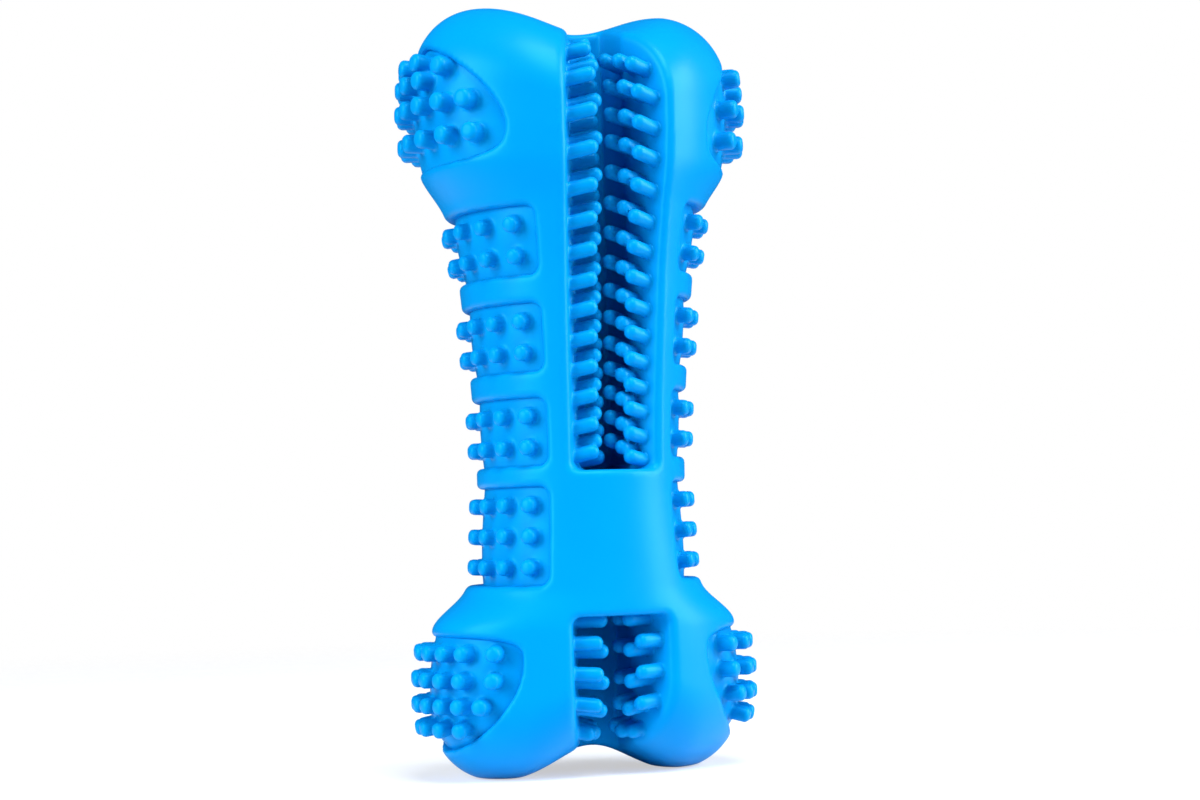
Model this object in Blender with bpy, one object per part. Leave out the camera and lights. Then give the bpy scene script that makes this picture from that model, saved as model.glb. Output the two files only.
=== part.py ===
"""Rubber dog toothbrush toy in the shape of a bone.

The bone stands on end: +Z runs along it, -Y is its front and X is its width.
One body carries everything. Its sides have windows with nubbed pads in them, and a
channel open at each end of the front and of the back has bristle strips in its walls.
Sizes are in metres, and all pieces are built from the outer skin of the bone.
"""
import math

import bmesh
import bpy
from mathutils import Vector

# Overall sizes
HEIGHT = 0.150
FOOT_FLAT = 0.0005
CLEARANCE = 0.0003

# Bottom knob: widest below its lip, and narrow at its neck
BOTTOM_KNOB_WIDTH = 0.0636
BOTTOM_KNOB_DEPTH = 0.0430
BOTTOM_BARREL = 0.0150
BOTTOM_FRONT_BEND = 0.0230
BOTTOM_LIP = 0.0290
BOTTOM_LIP_WIDTH = 0.0620
BOTTOM_NECK = 0.0372
BOTTOM_NECK_RADIUS = 0.0236

# Waist
WAIST_LOW = 0.0580
WAIST_RADIUS = 0.0206
WAIST_TAPER = 0.0024
WAIST_FLARE = 0.0008
WAIST_TOP_FROM_END = 0.0545

# Top knob, measured down from the top end
TOP_KNOB_WIDTH = 0.0634
TOP_KNOB_DEPTH = 0.0524
TOP_BARREL_FROM_END = 0.0185
TOP_FRONT_BEND_FROM_END = 0.0245
TOP_LIP_FROM_END = 0.0305
TOP_LIP_WIDTH = 0.0620
TOP_LIP_STEP = 0.0006
TOP_NECK_FROM_END = 0.0400
TOP_NECK_RADIUS = 0.0256
TOP_NECK_LEDGE = 0.0006

# Ends: two humps with a valley between them, crowned from front to back
HUMP_OFFSET = 0.0182
TOP_VALLEY = 0.0040
BOTTOM_VALLEY = 0.0058
CROWN_SLOPE = 0.30
CROWN_BEND = 0.0050
END_ROUNDING = 0.0130

# Channels in the front and the back, with a web between them
WEB_THICKNESS = 0.0050
CHANNEL_FLOOR_WIDTH = 0.0110
BRIDGE_LOW = 0.0315
BRIDGE_HIGH = 0.0594
UPPER_CORNER_DEPTH = 0.0137
LOWER_CORNER_DEPTH = 0.0100
WAIST_WALL_SLOPE = 0.80
KNOB_WALL_SLOPE = 0.474

# Bristle strips in the channel walls
STRIP_THICKNESS = 0.0020
STRIP_RIM_MARGIN = 0.0009
STRIP_TAIL_MARGIN = 0.0006
STRIP_END_GAP = 0.0006
STRIP_END_BEND = 0.0090
STRIP_TOP_FROM_END = 0.0078
STRIP_BOTTOM = 0.0076

# Bristles: an outer, a middle and an inner row on each wall
BRISTLE_RADIUS = 0.0016
BRISTLE_LENGTH = 0.0066
BRISTLE_SHORT_LENGTH = 0.0056
TIP_GAPS = (0.0054, 0.0024, 0.0012)
FORWARD_LEANS = (0.16, 0.12, 0.02)
UPPER_RISE = 0.21
UPPER_END_RISE = 0.30
LOWER_END_RISE = 0.32
ROW_STAGGER = (0.0, 0.42, -0.16)
BRISTLE_SEAT = 0.0011
BRISTLE_RIM_OFFSET = 0.0034
BRISTLE_ROW_SHARE = 0.60
BRISTLE_EDGE_MARGIN = 0.0018
UPPER_INNER_ROW = 0.0024
LOWER_INNER_ROW = 0.0014

# Bristle rows along the bone: the wanted pitch, and where a row starts and stops. The lower
# rows stop at heights of their own, in the order outer, middle, inner
BRISTLE_CROWDING = 0.16
UPPER_LEFT_PITCH = 0.00586
UPPER_LEFT_FIRST = 0.0030
UPPER_LEFT_LAST_FROM_END = 0.0113
UPPER_RIGHT_PITCH = 0.00544
UPPER_RIGHT_FIRST = 0.0024
UPPER_RIGHT_LAST_FROM_END = 0.0135
LOWER_PITCH = 0.0059
LOWER_INNER_PITCH = 0.0051
LOWER_FIRST = 0.0050
LOWER_LAST = (0.0102, 0.0134, 0.0115)

# Nubbed pads in their windows
PAD_RECESS = 0.0018
PAD_THICKNESS = 0.0015
PAD_CORNER = 0.0020
NUB_SEAT = 0.0008
STUD_DOME = 0.60

# Waist pads. The shares are of the pitch of the nub rows, which fill the waist
PAD_HALF_ANGLE = math.radians(51)
NUB_RADIUS = 0.00155
NUB_PROUD = 0.0017
NUB_PITCH_ANGLE = math.radians(16.2)
NUBS_PER_ROW = 6
WAIST_PAD_ROWS = (3, 2, 2, 2)
PAD_EDGE_SHARE = 0.585
LEFT_BAND_SHARES = (0.68, 0.85, 0.90)
LEFT_PADS_OVER_NECK = 0.0004
LEFT_PADS_TOP_FROM_END = 0.0404
RIGHT_BAND_SHARES = (0.83, 0.85, 0.85)
RIGHT_PADS_OVER_NECK = 0.0009
RIGHT_PADS_TOP_FROM_END = 0.0392

# Knob pads: a half oval with a squarer base edge, its apex towards the end of the bone
KNOB_PAD_BULGE = 0.0015
KNOB_NUB_LENGTH = 0.0038
TOP_NUB_RADIUS = 0.0018
BOTTOM_NUB_RADIUS = 0.0016
TOP_PAD_BASE_FROM_END = 0.0250
TOP_PAD_REACH = 0.0166
TOP_PAD_BASE_REACH = 0.0064
TOP_PAD_HALF_ANGLE = math.radians(48)
BOTTOM_PAD_BASE = 0.0237
BOTTOM_PAD_REACH = 0.0176
BOTTOM_PAD_BASE_REACH = 0.0042
BOTTOM_PAD_HALF_ANGLE = math.radians(52)
OVAL_SQUARENESS = 3.5

# Nub rows on the knob pads: distance from the base towards the apex, and angles in degrees
TOP_PAD_NUBS = (
    (-0.0021, (-38.6, -26.6, -14.6, -2.6, 9.4, 21.4, 33.4)),
    (0.0040, (-36.4, -25.3, -14.2, -3.1, 8.0, 19.1, 30.2)),
    (0.0095, (-26.2, -15.6, -5.0, 5.6, 16.2)),
    (0.0130, (-13.2, -1.2, 10.8)),
)
BOTTOM_PAD_NUBS = (
    (-0.0013, (-41.7, -27.9, -17.1, -6.3, 4.5, 15.3, 26.1, 39.9)),
    (0.0038, (-41.0, -27.0, -16.6, -6.2, 4.2, 14.6, 25.0, 39.0)),
    (0.0087, (-35.6, -26.0, -16.4, -6.8, 2.8, 12.4, 22.0, 31.6)),
    (0.0129, (-24.6, -13.6, -2.6, 8.4, 19.4)),
)

# How far cutters pass out of what they cut
OVERCUT = 0.0060
POCKET_LIFT = 0.0010

# Mesh fineness, and the rays that place the rings of the skin
AROUND = 32
LEVEL_RAYS_END = 0.0200
RAY_TILTS = (14, 27, 37, 43.5, 47.8, 52.5, 62, 76)
RING_STEPS = (2, 3, 3, 3, 2, 3, 2)
CORNER_STEPS = 3
PAD_STEPS = 7
OVAL_STEPS = 13
OVAL_ROWS = 3
OVAL_TIP = 0.06
NUB_SIDES = 6
BRISTLE_SIDES = 4

RUBBER_BLUE = (0.002, 0.305, 0.92, 1.0)
RUBBER_DEEP = (0.002, 0.235, 0.80, 1.0)


def clear_scene():
    for item in list(bpy.data.objects):
        bpy.data.objects.remove(item, do_unlink=True)


def rubber(name, colour):
    material = bpy.data.materials.new(name)
    material.use_nodes = True
    shader = material.node_tree.nodes["Principled BSDF"]
    shader.inputs["Base Color"].default_value = colour
    shader.inputs["Roughness"].default_value = 0.38
    shader.inputs["Metallic"].default_value = 0.0
    return material


def through(stations, z):
    """Smooth curve through (z, value) stations, level at each local extreme."""
    if z <= stations[0][0]:
        return stations[0][1]
    if z >= stations[-1][0]:
        return stations[-1][1]
    slopes = []
    for i in range(len(stations)):
        if i in (0, len(stations) - 1):
            slopes.append(0.0)
            continue
        (z0, v0), (z1, v1), (z2, v2) = stations[i - 1:i + 2]
        before = (v1 - v0) / (z1 - z0)
        after = (v2 - v1) / (z2 - z1)
        if before * after <= 0:
            slopes.append(0.0)
        else:
            slopes.append(2 * before * after / (before + after))
    for i in range(len(stations) - 1):
        (z0, v0), (z1, v1) = stations[i:i + 2]
        if z <= z1:
            span = z1 - z0
            t = (z - z0) / span
            return (v0 * (1 + 2 * t) * (1 - t) ** 2 + v1 * t * t * (3 - 2 * t)
                    + span * (slopes[i] * t * (1 - t) ** 2 - slopes[i + 1] * t * t * (1 - t)))


def waist_radius(z):
    """Radius of the waist by itself, as if it had no knobs."""
    return through([
        (BOTTOM_NECK, WAIST_RADIUS + WAIST_FLARE),
        (WAIST_LOW, WAIST_RADIUS),
        (HEIGHT - WAIST_TOP_FROM_END, WAIST_RADIUS + WAIST_TAPER),
        (HEIGHT - TOP_NECK_FROM_END, TOP_NECK_RADIUS - TOP_NECK_LEDGE),
    ], z)


def half_width(z):
    return through([
        (BOTTOM_BARREL, BOTTOM_KNOB_WIDTH / 2),
        (BOTTOM_LIP, BOTTOM_LIP_WIDTH / 2),
        (BOTTOM_NECK, BOTTOM_NECK_RADIUS),
        (WAIST_LOW, WAIST_RADIUS),
        (HEIGHT - WAIST_TOP_FROM_END, WAIST_RADIUS + WAIST_TAPER),
        (HEIGHT - TOP_NECK_FROM_END, TOP_NECK_RADIUS),
        (HEIGHT - TOP_LIP_FROM_END, TOP_LIP_WIDTH / 2),
        (HEIGHT - TOP_BARREL_FROM_END, TOP_KNOB_WIDTH / 2),
    ], z)


def half_depth(z):
    return through([
        (BOTTOM_FRONT_BEND, BOTTOM_KNOB_DEPTH / 2),
        (WAIST_LOW, WAIST_RADIUS),
        (HEIGHT - WAIST_TOP_FROM_END, WAIST_RADIUS + WAIST_TAPER),
        (HEIGHT - TOP_LIP_FROM_END, (TOP_KNOB_DEPTH - TOP_LIP_STEP) / 2),
        (HEIGHT - TOP_FRONT_BEND_FROM_END, TOP_KNOB_DEPTH / 2),
    ], z)


def hump(x, valley):
    """How far the end surface lies below the humps' crests at a distance x from the middle."""
    if abs(x) >= HUMP_OFFSET:
        return 0.0
    return valley * (1 + math.cos(math.pi * x / HUMP_OFFSET)) / 2


def crown(y):
    """How far the end surface lies below its crest line at a distance y from the middle."""
    return CROWN_SLOPE * (math.hypot(y, CROWN_BEND) - CROWN_BEND)


def round_join(u, v, radius):
    """Intersection of two half spaces with their edge rounded."""
    if u > -radius and v > -radius:
        return math.hypot(u + radius, v + radius) - radius
    return max(u, v)


def whole_section(z):
    return half_width(z), half_depth(z)


def waist_section(z):
    return waist_radius(z), waist_radius(z)


def bottom_knob_section(z):
    return BOTTOM_KNOB_WIDTH / 2, BOTTOM_KNOB_DEPTH / 2


def top_knob_section(z):
    return TOP_KNOB_WIDTH / 2, TOP_KNOB_DEPTH / 2


def skin(point, section=whole_section):
    """Signed distance, nearly, to the outer skin of the bone: negative inside."""
    x, y, z = point
    a, b = section(z)
    reach = math.hypot(x / a, y / b)
    slope = math.hypot(x / a ** 2, y / b ** 2)
    side = (reach - 1) * reach / slope if slope > 1e-9 else -min(a, b)
    top = z - HEIGHT + hump(x, TOP_VALLEY)
    bottom = -FOOT_FLAT - z + hump(x, BOTTOM_VALLEY)
    return round_join(side, max(top, bottom) + crown(y), END_ROUNDING)


def cast(origin, direction, section=whole_section):
    """Point where a ray from inside the bone leaves its skin."""
    near = 0.0
    far = HEIGHT / 2
    for _ in range(40):
        middle = (near + far) / 2
        if skin(origin + direction * middle, section) < 0:
            near = middle
        else:
            far = middle
    return origin + direction * near


def normal_at(point, section):
    step = 0.0002
    parts = []
    for axis in range(3):
        offset = Vector((0, 0, 0))
        offset[axis] = step
        parts.append(skin(point + offset, section) - skin(point - offset, section))
    return Vector(parts).normalized()


def around_direction(angle, z, section=whole_section):
    """Level direction at an angle from the front of the section at height z."""
    a, b = section(z)
    return Vector((a * math.sin(angle), -b * math.cos(angle), 0)).normalized()


def skin_point(angle, z, section):
    return cast(Vector((0, 0, z)), around_direction(angle, z, section), section)


def add_object(name, mesh_data, material=None):
    mesh = bpy.data.meshes.new(name)
    mesh_data.normal_update()
    mesh_data.to_mesh(mesh)
    mesh_data.free()
    item = bpy.data.objects.new(name, mesh)
    bpy.context.scene.collection.objects.link(item)
    if material is not None:
        mesh.materials.append(material)
        mesh.shade_smooth()
        mesh.set_sharp_from_angle(angle=math.radians(40))
    return item


def add_cutter(name, mesh_data):
    item = add_object(name, mesh_data)
    item.hide_render = True
    item.display_type = "WIRE"
    return item


def boolean(item, tool, operation):
    modifier = item.modifiers.new(tool.name, "BOOLEAN")
    modifier.operation = operation
    modifier.solver = "EXACT"
    modifier.object = tool


def loft(mesh_data, loops, tip=None):
    """Closed body through rings of equal count, with flat ends or a pointed last one."""
    rings = [[mesh_data.verts.new(point) for point in loop] for loop in loops]
    count = len(rings[0])
    faces = [mesh_data.faces.new(rings[0][::-1])]
    if tip is None:
        faces.append(mesh_data.faces.new(rings[-1]))
    else:
        pole = mesh_data.verts.new(tip)
        for i in range(count):
            faces.append(mesh_data.faces.new((rings[-1][i], rings[-1][(i + 1) % count], pole)))
    for low, high in zip(rings, rings[1:]):
        for i in range(count):
            j = (i + 1) % count
            faces.append(mesh_data.faces.new((low[i], low[j], high[j], high[i])))
    bmesh.ops.recalc_face_normals(mesh_data, faces=faces)
    return faces


def stud(mesh_data, root, direction, length, radius, sides):
    """Short round-tipped stud from its root, closed at both ends."""
    axis = direction.normalized()
    across = axis.cross(Vector((0, 1, 0)))
    if across.length < 0.1:
        across = axis.cross(Vector((1, 0, 0)))
    across.normalize()
    beside = axis.cross(across)
    loops = []
    for distance in (0, length - STUD_DOME * radius):
        loop = []
        for i in range(sides):
            turn = 2 * math.pi * i / sides
            spoke = across * math.cos(turn) + beside * math.sin(turn)
            loop.append(root + axis * distance + spoke * radius)
        loops.append(loop)
    loft(mesh_data, loops, root + axis * length)


def ring_heights():
    """Heights of the level rings between the two knobs' middles."""
    high = HEIGHT - LEVEL_RAYS_END
    marks = [LEVEL_RAYS_END, BOTTOM_LIP, BOTTOM_NECK, WAIST_LOW, HEIGHT - WAIST_TOP_FROM_END,
             HEIGHT - TOP_NECK_FROM_END, HEIGHT - TOP_LIP_FROM_END, high]
    heights = []
    for start, end, count in zip(marks, marks[1:], RING_STEPS):
        heights += [start + (end - start) * i / count for i in range(count)]
    return heights + [high]


def bone_skin():
    """Outer skin as rings: level rays between the knobs' middles, then rays up and down."""
    mesh_data = bmesh.new()
    heights = ring_heights()
    tilts = [math.radians(value) for value in RAY_TILTS]
    rows = [(heights[0], -tilt) for tilt in reversed(tilts)]
    rows += [(z, 0.0) for z in heights]
    rows += [(heights[-1], tilt) for tilt in tilts]
    rings = []
    for z, tilt in rows:
        ring = []
        for i in range(AROUND):
            level = around_direction(2 * math.pi * (i + 0.5) / AROUND, z)
            direction = level * math.cos(tilt) + Vector((0, 0, math.sin(tilt)))
            ring.append(mesh_data.verts.new(cast(Vector((0, 0, z)), direction)))
        rings.append(ring)
    for low, high in zip(rings, rings[1:]):
        for i in range(AROUND):
            j = (i + 1) % AROUND
            mesh_data.faces.new((low[i], low[j], high[j], high[i]))
    for ring, z, way in ((rings[0], heights[0], -1), (rings[-1], heights[-1], 1)):
        pole = mesh_data.verts.new(cast(Vector((0, 0, z)), Vector((0, 0, way))))
        for i in range(AROUND):
            mesh_data.faces.new((ring[i], ring[(i + 1) % AROUND], pole))
    bmesh.ops.recalc_face_normals(mesh_data, faces=mesh_data.faces[:])
    return mesh_data


def wall_slope(z):
    """Sideways run of a channel wall for each unit of depth."""
    knob = HEIGHT - TOP_LIP_FROM_END
    if z <= BRIDGE_LOW:
        return KNOB_WALL_SLOPE
    share = min(max((z - BRIDGE_HIGH) / (knob - BRIDGE_HIGH), 0.0), 1.0)
    return WAIST_WALL_SLOPE + (KNOB_WALL_SLOPE - WAIST_WALL_SLOPE) * share


def corner_depth(z):
    return LOWER_CORNER_DEPTH if z <= BRIDGE_LOW else UPPER_CORNER_DEPTH


def wall_point(z, distance):
    """Point on the front right channel wall: 0 is the corner, more is towards the rim."""
    corner = Vector((CHANNEL_FLOOR_WIDTH / 2, -corner_depth(z), z))
    if distance <= 0:
        return corner + Vector((0, -distance, 0))
    return corner + Vector((wall_slope(z), -1, 0)).normalized() * distance


def rim_distance(z):
    """Distance along the wall from its corner to the skin."""
    near = 0.0
    far = 0.03
    for _ in range(40):
        middle = (near + far) / 2
        if skin(wall_point(z, middle)) < 0:
            near = middle
        else:
            far = middle
    return near


def mirrored(point, side, face):
    """Point of the front right quarter, taken to a side and to the front or the back."""
    return Vector((point.x * side, point.y * face, point.z))


def channel_loop(z, face):
    half = CHANNEL_FLOOR_WIDTH / 2
    mouth = wall_point(z, TOP_KNOB_DEPTH / 2)
    corner = wall_point(z, 0)
    floor = -WEB_THICKNESS / 2
    quarter = [Vector((half, floor, z)), corner, mouth]
    right = [mirrored(point, 1, face) for point in quarter]
    left = [mirrored(point, -1, face) for point in reversed(quarter)]
    return right + left


def channel_cutters():
    mesh_data = bmesh.new()
    knob = HEIGHT - TOP_LIP_FROM_END
    for face in (1, -1):
        loft(mesh_data, [channel_loop(z, face) for z in (BRIDGE_HIGH, knob, HEIGHT + OVERCUT)])
        loft(mesh_data, [channel_loop(z, face) for z in (-OVERCUT, BRIDGE_LOW)])
    return mesh_data


def strip_heights(upper):
    if upper:
        low = BRIDGE_HIGH + STRIP_END_GAP
        high = HEIGHT - STRIP_TOP_FROM_END
        knob = HEIGHT - TOP_LIP_FROM_END
        bend = high - STRIP_END_BEND
        return [low, (low + knob) / 2, knob, bend, (bend + high) / 2, high]
    low = STRIP_BOTTOM
    high = BRIDGE_LOW - STRIP_END_GAP
    return [low, low + STRIP_END_BEND / 2, low + STRIP_END_BEND, high]


def inner_row(z):
    """Distance of the inner bristle row from the wall's corner, towards the web."""
    return LOWER_INNER_ROW if z <= BRIDGE_LOW else UPPER_INNER_ROW


def strip_loop(z, side, face, grow, lift):
    """Section of a bristle strip, grown by a clearance and lifted off the wall for its pocket."""
    top = rim_distance(z) - STRIP_RIM_MARGIN
    tail_distance = inner_row(z) + BRISTLE_RADIUS + STRIP_TAIL_MARGIN
    slope = Vector((wall_slope(z), -1, 0)).normalized()
    into = Vector((-slope.y, slope.x, 0))
    bend = math.tan(math.atan(wall_slope(z)) / 2)
    thick = STRIP_THICKNESS + grow
    front = wall_point(z, top) + slope * grow
    corner = wall_point(z, 0)
    tail = wall_point(z, -tail_distance) + Vector((0, grow, 0))
    back_corner = corner + Vector((thick, 0, 0)) + Vector((0, bend * thick, 0))
    face_corner = corner - Vector((lift, 0, 0)) - Vector((0, bend * lift, 0))
    quarter = [front - into * lift, face_corner, tail - Vector((lift, 0, 0)),
               tail + Vector((thick, 0, 0)), back_corner, front + into * thick]
    return [mirrored(point, side, face) for point in quarter]


def strip_body(mesh_data, upper, side, face, grow, lift):
    heights = strip_heights(upper)
    loops = []
    for i, z in enumerate(heights):
        loop = strip_loop(z, side, face, grow, lift)
        if i == 0:
            loop = [point - Vector((0, 0, grow)) for point in loop]
        if i == len(heights) - 1:
            loop = [point + Vector((0, 0, grow)) for point in loop]
        loops.append(loop)
    loft(mesh_data, loops)


def bristle_heights(upper, side, row):
    """Heights of one row's bristles. The rows are staggered along the bone."""
    if upper:
        if side < 0:
            low = BRIDGE_HIGH + UPPER_LEFT_FIRST
            high = HEIGHT - UPPER_LEFT_LAST_FROM_END
            wanted = UPPER_LEFT_PITCH
        else:
            low = BRIDGE_HIGH + UPPER_RIGHT_FIRST
            high = HEIGHT - UPPER_RIGHT_LAST_FROM_END
            wanted = UPPER_RIGHT_PITCH
        crowding = BRISTLE_CROWDING
        bottom = BRIDGE_HIGH + STRIP_END_GAP + BRISTLE_EDGE_MARGIN
        top = HEIGHT - STRIP_TOP_FROM_END - BRISTLE_EDGE_MARGIN
        stagger = ROW_STAGGER[row]
    else:
        high = BRIDGE_LOW - LOWER_FIRST
        low = LOWER_LAST[row]
        wanted = LOWER_PITCH
        crowding = 0.0
        bottom = STRIP_BOTTOM + BRISTLE_EDGE_MARGIN
        top = BRIDGE_LOW - STRIP_END_GAP - BRISTLE_EDGE_MARGIN
        stagger = 0.0
        if row > 0:
            high = top
            wanted = LOWER_INNER_PITCH
    heights = []
    count = 1 + round((high - low) / wanted)
    pitch = (high - low) / (count - 1)
    for i in range(count):
        share = i / (count - 1)
        z = low + (high - low) * (share + crowding * (share * share - share))
        heights.append(min(max(z + stagger * pitch, bottom), top))
    return heights


def bristle(mesh_data, z, row, upper, side, face):
    """One bristle of the outer, middle or inner row, pointing in across the channel."""
    outer = rim_distance(z) - BRISTLE_RIM_OFFSET
    root = wall_point(z, (outer, outer * (1 - BRISTLE_ROW_SHARE), -inner_row(z))[row])
    if upper:
        end_share = (z - BRIDGE_HIGH) / (HEIGHT - BRIDGE_HIGH)
        rise = UPPER_RISE + UPPER_END_RISE * max(end_share - 0.5, 0)
        longest = BRISTLE_LENGTH
    else:
        rise = LOWER_END_RISE * (z - BRIDGE_LOW) / BRIDGE_LOW
        longest = BRISTLE_SHORT_LENGTH
    length = min(longest, root.x - TIP_GAPS[row] / 2)
    axis = Vector((-1, -FORWARD_LEANS[row], rise)).normalized()
    start = root - axis * BRISTLE_SEAT
    stud(mesh_data, mirrored(start, side, face), mirrored(axis, side, face),
         length + BRISTLE_SEAT, BRISTLE_RADIUS, BRISTLE_SIDES)


def bristle_strip(name, upper, side, face, material):
    slice_mesh = bmesh.new()
    strip_body(slice_mesh, upper, side, face, 0.0, 0.0)
    strip = add_object(name, slice_mesh, material)
    rows = bmesh.new()
    for row in range(3):
        for z in bristle_heights(upper, side, row):
            bristle(rows, z, row, upper, side, face)
    boolean(strip, add_cutter(name + "_bristles", rows), "UNION")
    return strip


def window_columns(low, high, section, grow):
    """Columns of a rounded rectangle round one side: an angle, and heights from low to high."""
    radius = section((low + high) / 2)[0]
    reach = PAD_HALF_ANGLE + grow / radius
    corner = PAD_CORNER + grow
    bottom = low - grow
    top = high + grow
    offsets = []
    for step in range(CORNER_STEPS + 1):
        turn = math.pi / 2 * step / CORNER_STEPS
        inset = corner * (1 - math.sin(turn))
        offsets.append((reach - corner * (1 - math.cos(turn)) / radius, inset))
    offsets.reverse()
    straight = offsets[0][0]
    ends = [(-offset, inset) for offset, inset in reversed(offsets)]
    middle = [(straight * (2 * i / PAD_STEPS - 1), 0.0) for i in range(1, PAD_STEPS)]
    columns = []
    for offset, inset in ends + middle + offsets:
        columns.append((math.pi / 2 + offset, [bottom + inset, top - inset]))
    return columns


def oval_span(base, reach, base_reach, way, across):
    """Lowest and highest point of a half oval with a squarer base edge, at a share across it."""
    apex = base + way * reach * math.sqrt(1 - across * across)
    squarer = (1 - abs(across) ** OVAL_SQUARENESS) ** (1 / OVAL_SQUARENESS)
    foot = base - way * base_reach * squarer
    return min(apex, foot), max(apex, foot)


def oval_columns(base, reach, base_reach, half_angle, way, section, grow):
    """Columns of a half oval; its apex points up or down by way."""
    angle_reach = half_angle + grow / section(base)[0]
    columns = []
    for i in range(OVAL_STEPS + 1):
        across = -math.cos(math.pi * (OVAL_TIP + (1 - 2 * OVAL_TIP) * i / OVAL_STEPS))
        low, high = oval_span(base, reach + grow, base_reach + grow, way, across)
        heights = [low + (high - low) * k / OVAL_ROWS for k in range(OVAL_ROWS + 1)]
        columns.append((math.pi / 2 + angle_reach * across, heights))
    return columns


def bulge_share(across, z, low, high):
    """Share of a pad's bulge at a place on it: 1 in its middle and 0 at its edges."""
    along = (2 * z - low - high) / (high - low)
    return (1 - across * across) * (1 - along * along)


def curved_plate(mesh_data, columns, section, outer, inner, side, bulge=0.0):
    """Closed plate between two depths under the skin of a section, one ring per column."""
    loops = []
    reach = columns[-1][0] - math.pi / 2
    for angle, heights in columns:
        over = []
        under = []
        for z in heights:
            share = bulge_share((angle - math.pi / 2) / reach, z, heights[0], heights[-1])
            surface = skin_point(angle, z, section)
            into = -normal_at(surface, section)
            over.append(mirrored(surface + into * (outer - bulge * share), side, 1))
            under.append(mirrored(surface + into * inner, side, 1))
        loops.append(over + under[::-1])
    loft(mesh_data, loops)


def waist_pads(side):
    """Windows, plates and nubs of one side's waist pads, from the bottom knob to the top one."""
    if side < 0:
        low = BOTTOM_NECK + LEFT_PADS_OVER_NECK
        top = HEIGHT - LEFT_PADS_TOP_FROM_END
        bands = LEFT_BAND_SHARES
    else:
        low = BOTTOM_NECK + RIGHT_PADS_OVER_NECK
        top = HEIGHT - RIGHT_PADS_TOP_FROM_END
        bands = RIGHT_BAND_SHARES
    pads = []
    pitches = [2 * PAD_EDGE_SHARE + rows - 1 for rows in WAIST_PAD_ROWS]
    pitch = (top - low) / (sum(pitches) + sum(bands))
    for rows, tall, band in zip(WAIST_PAD_ROWS, pitches, bands + (0.0,)):
        high = low + tall * pitch
        nubs = []
        for row in range(rows):
            for i in range(NUBS_PER_ROW):
                angle = math.pi / 2 + (i - (NUBS_PER_ROW - 1) / 2) * NUB_PITCH_ANGLE
                nubs.append((angle, low + (PAD_EDGE_SHARE + row) * pitch, NUB_PROUD))
        window, plate = [window_columns(low, high, waist_section, grow)
                         for grow in (0.0, -CLEARANCE)]
        pads.append((window, plate, 0.0, nubs, NUB_RADIUS, waist_section))
        low = high + band * pitch
    return pads


def knob_pad(base, reach, base_reach, half_angle, way, section, nub_radius, rows):
    """Window, plate and nubs of a knob pad. Each row is an offset from its base and angles."""
    window, plate = [oval_columns(base, reach, base_reach, half_angle, way, section, grow)
                     for grow in (0.0, -CLEARANCE)]
    nubs = []
    for offset, angles in rows:
        z = base + way * offset
        for degrees in angles:
            angle = math.radians(degrees)
            across = angle / half_angle
            low, high = oval_span(base, reach, base_reach, way, across)
            depth = PAD_RECESS - KNOB_PAD_BULGE * bulge_share(across, z, low, high)
            nubs.append((math.pi / 2 + angle, z, KNOB_NUB_LENGTH - depth))
    return window, plate, KNOB_PAD_BULGE, nubs, nub_radius, section


def knob_pads():
    top = knob_pad(HEIGHT - TOP_PAD_BASE_FROM_END, TOP_PAD_REACH, TOP_PAD_BASE_REACH,
                   TOP_PAD_HALF_ANGLE, 1, top_knob_section, TOP_NUB_RADIUS, TOP_PAD_NUBS)
    bottom = knob_pad(BOTTOM_PAD_BASE, BOTTOM_PAD_REACH, BOTTOM_PAD_BASE_REACH,
                      BOTTOM_PAD_HALF_ANGLE, -1, bottom_knob_section, BOTTOM_NUB_RADIUS,
                      BOTTOM_PAD_NUBS)
    return top, bottom


def nub_pad(name, pad, side, material):
    columns, bulge, nubs, radius, section = pad[1:]
    plate = bmesh.new()
    curved_plate(plate, columns, section, PAD_RECESS, PAD_RECESS + PAD_THICKNESS, side, bulge)
    item = add_object(name, plate, material)
    studs = bmesh.new()
    for angle, z, proud in nubs:
        surface = skin_point(angle, z, section)
        out = normal_at(surface, section)
        root = surface - out * (PAD_RECESS + NUB_SEAT)
        stud(studs, mirrored(root, side, 1), mirrored(out, side, 1),
             PAD_RECESS + NUB_SEAT + proud, radius, NUB_SIDES)
    boolean(item, add_cutter(name + "_nubs", studs), "UNION")
    return item


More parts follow.
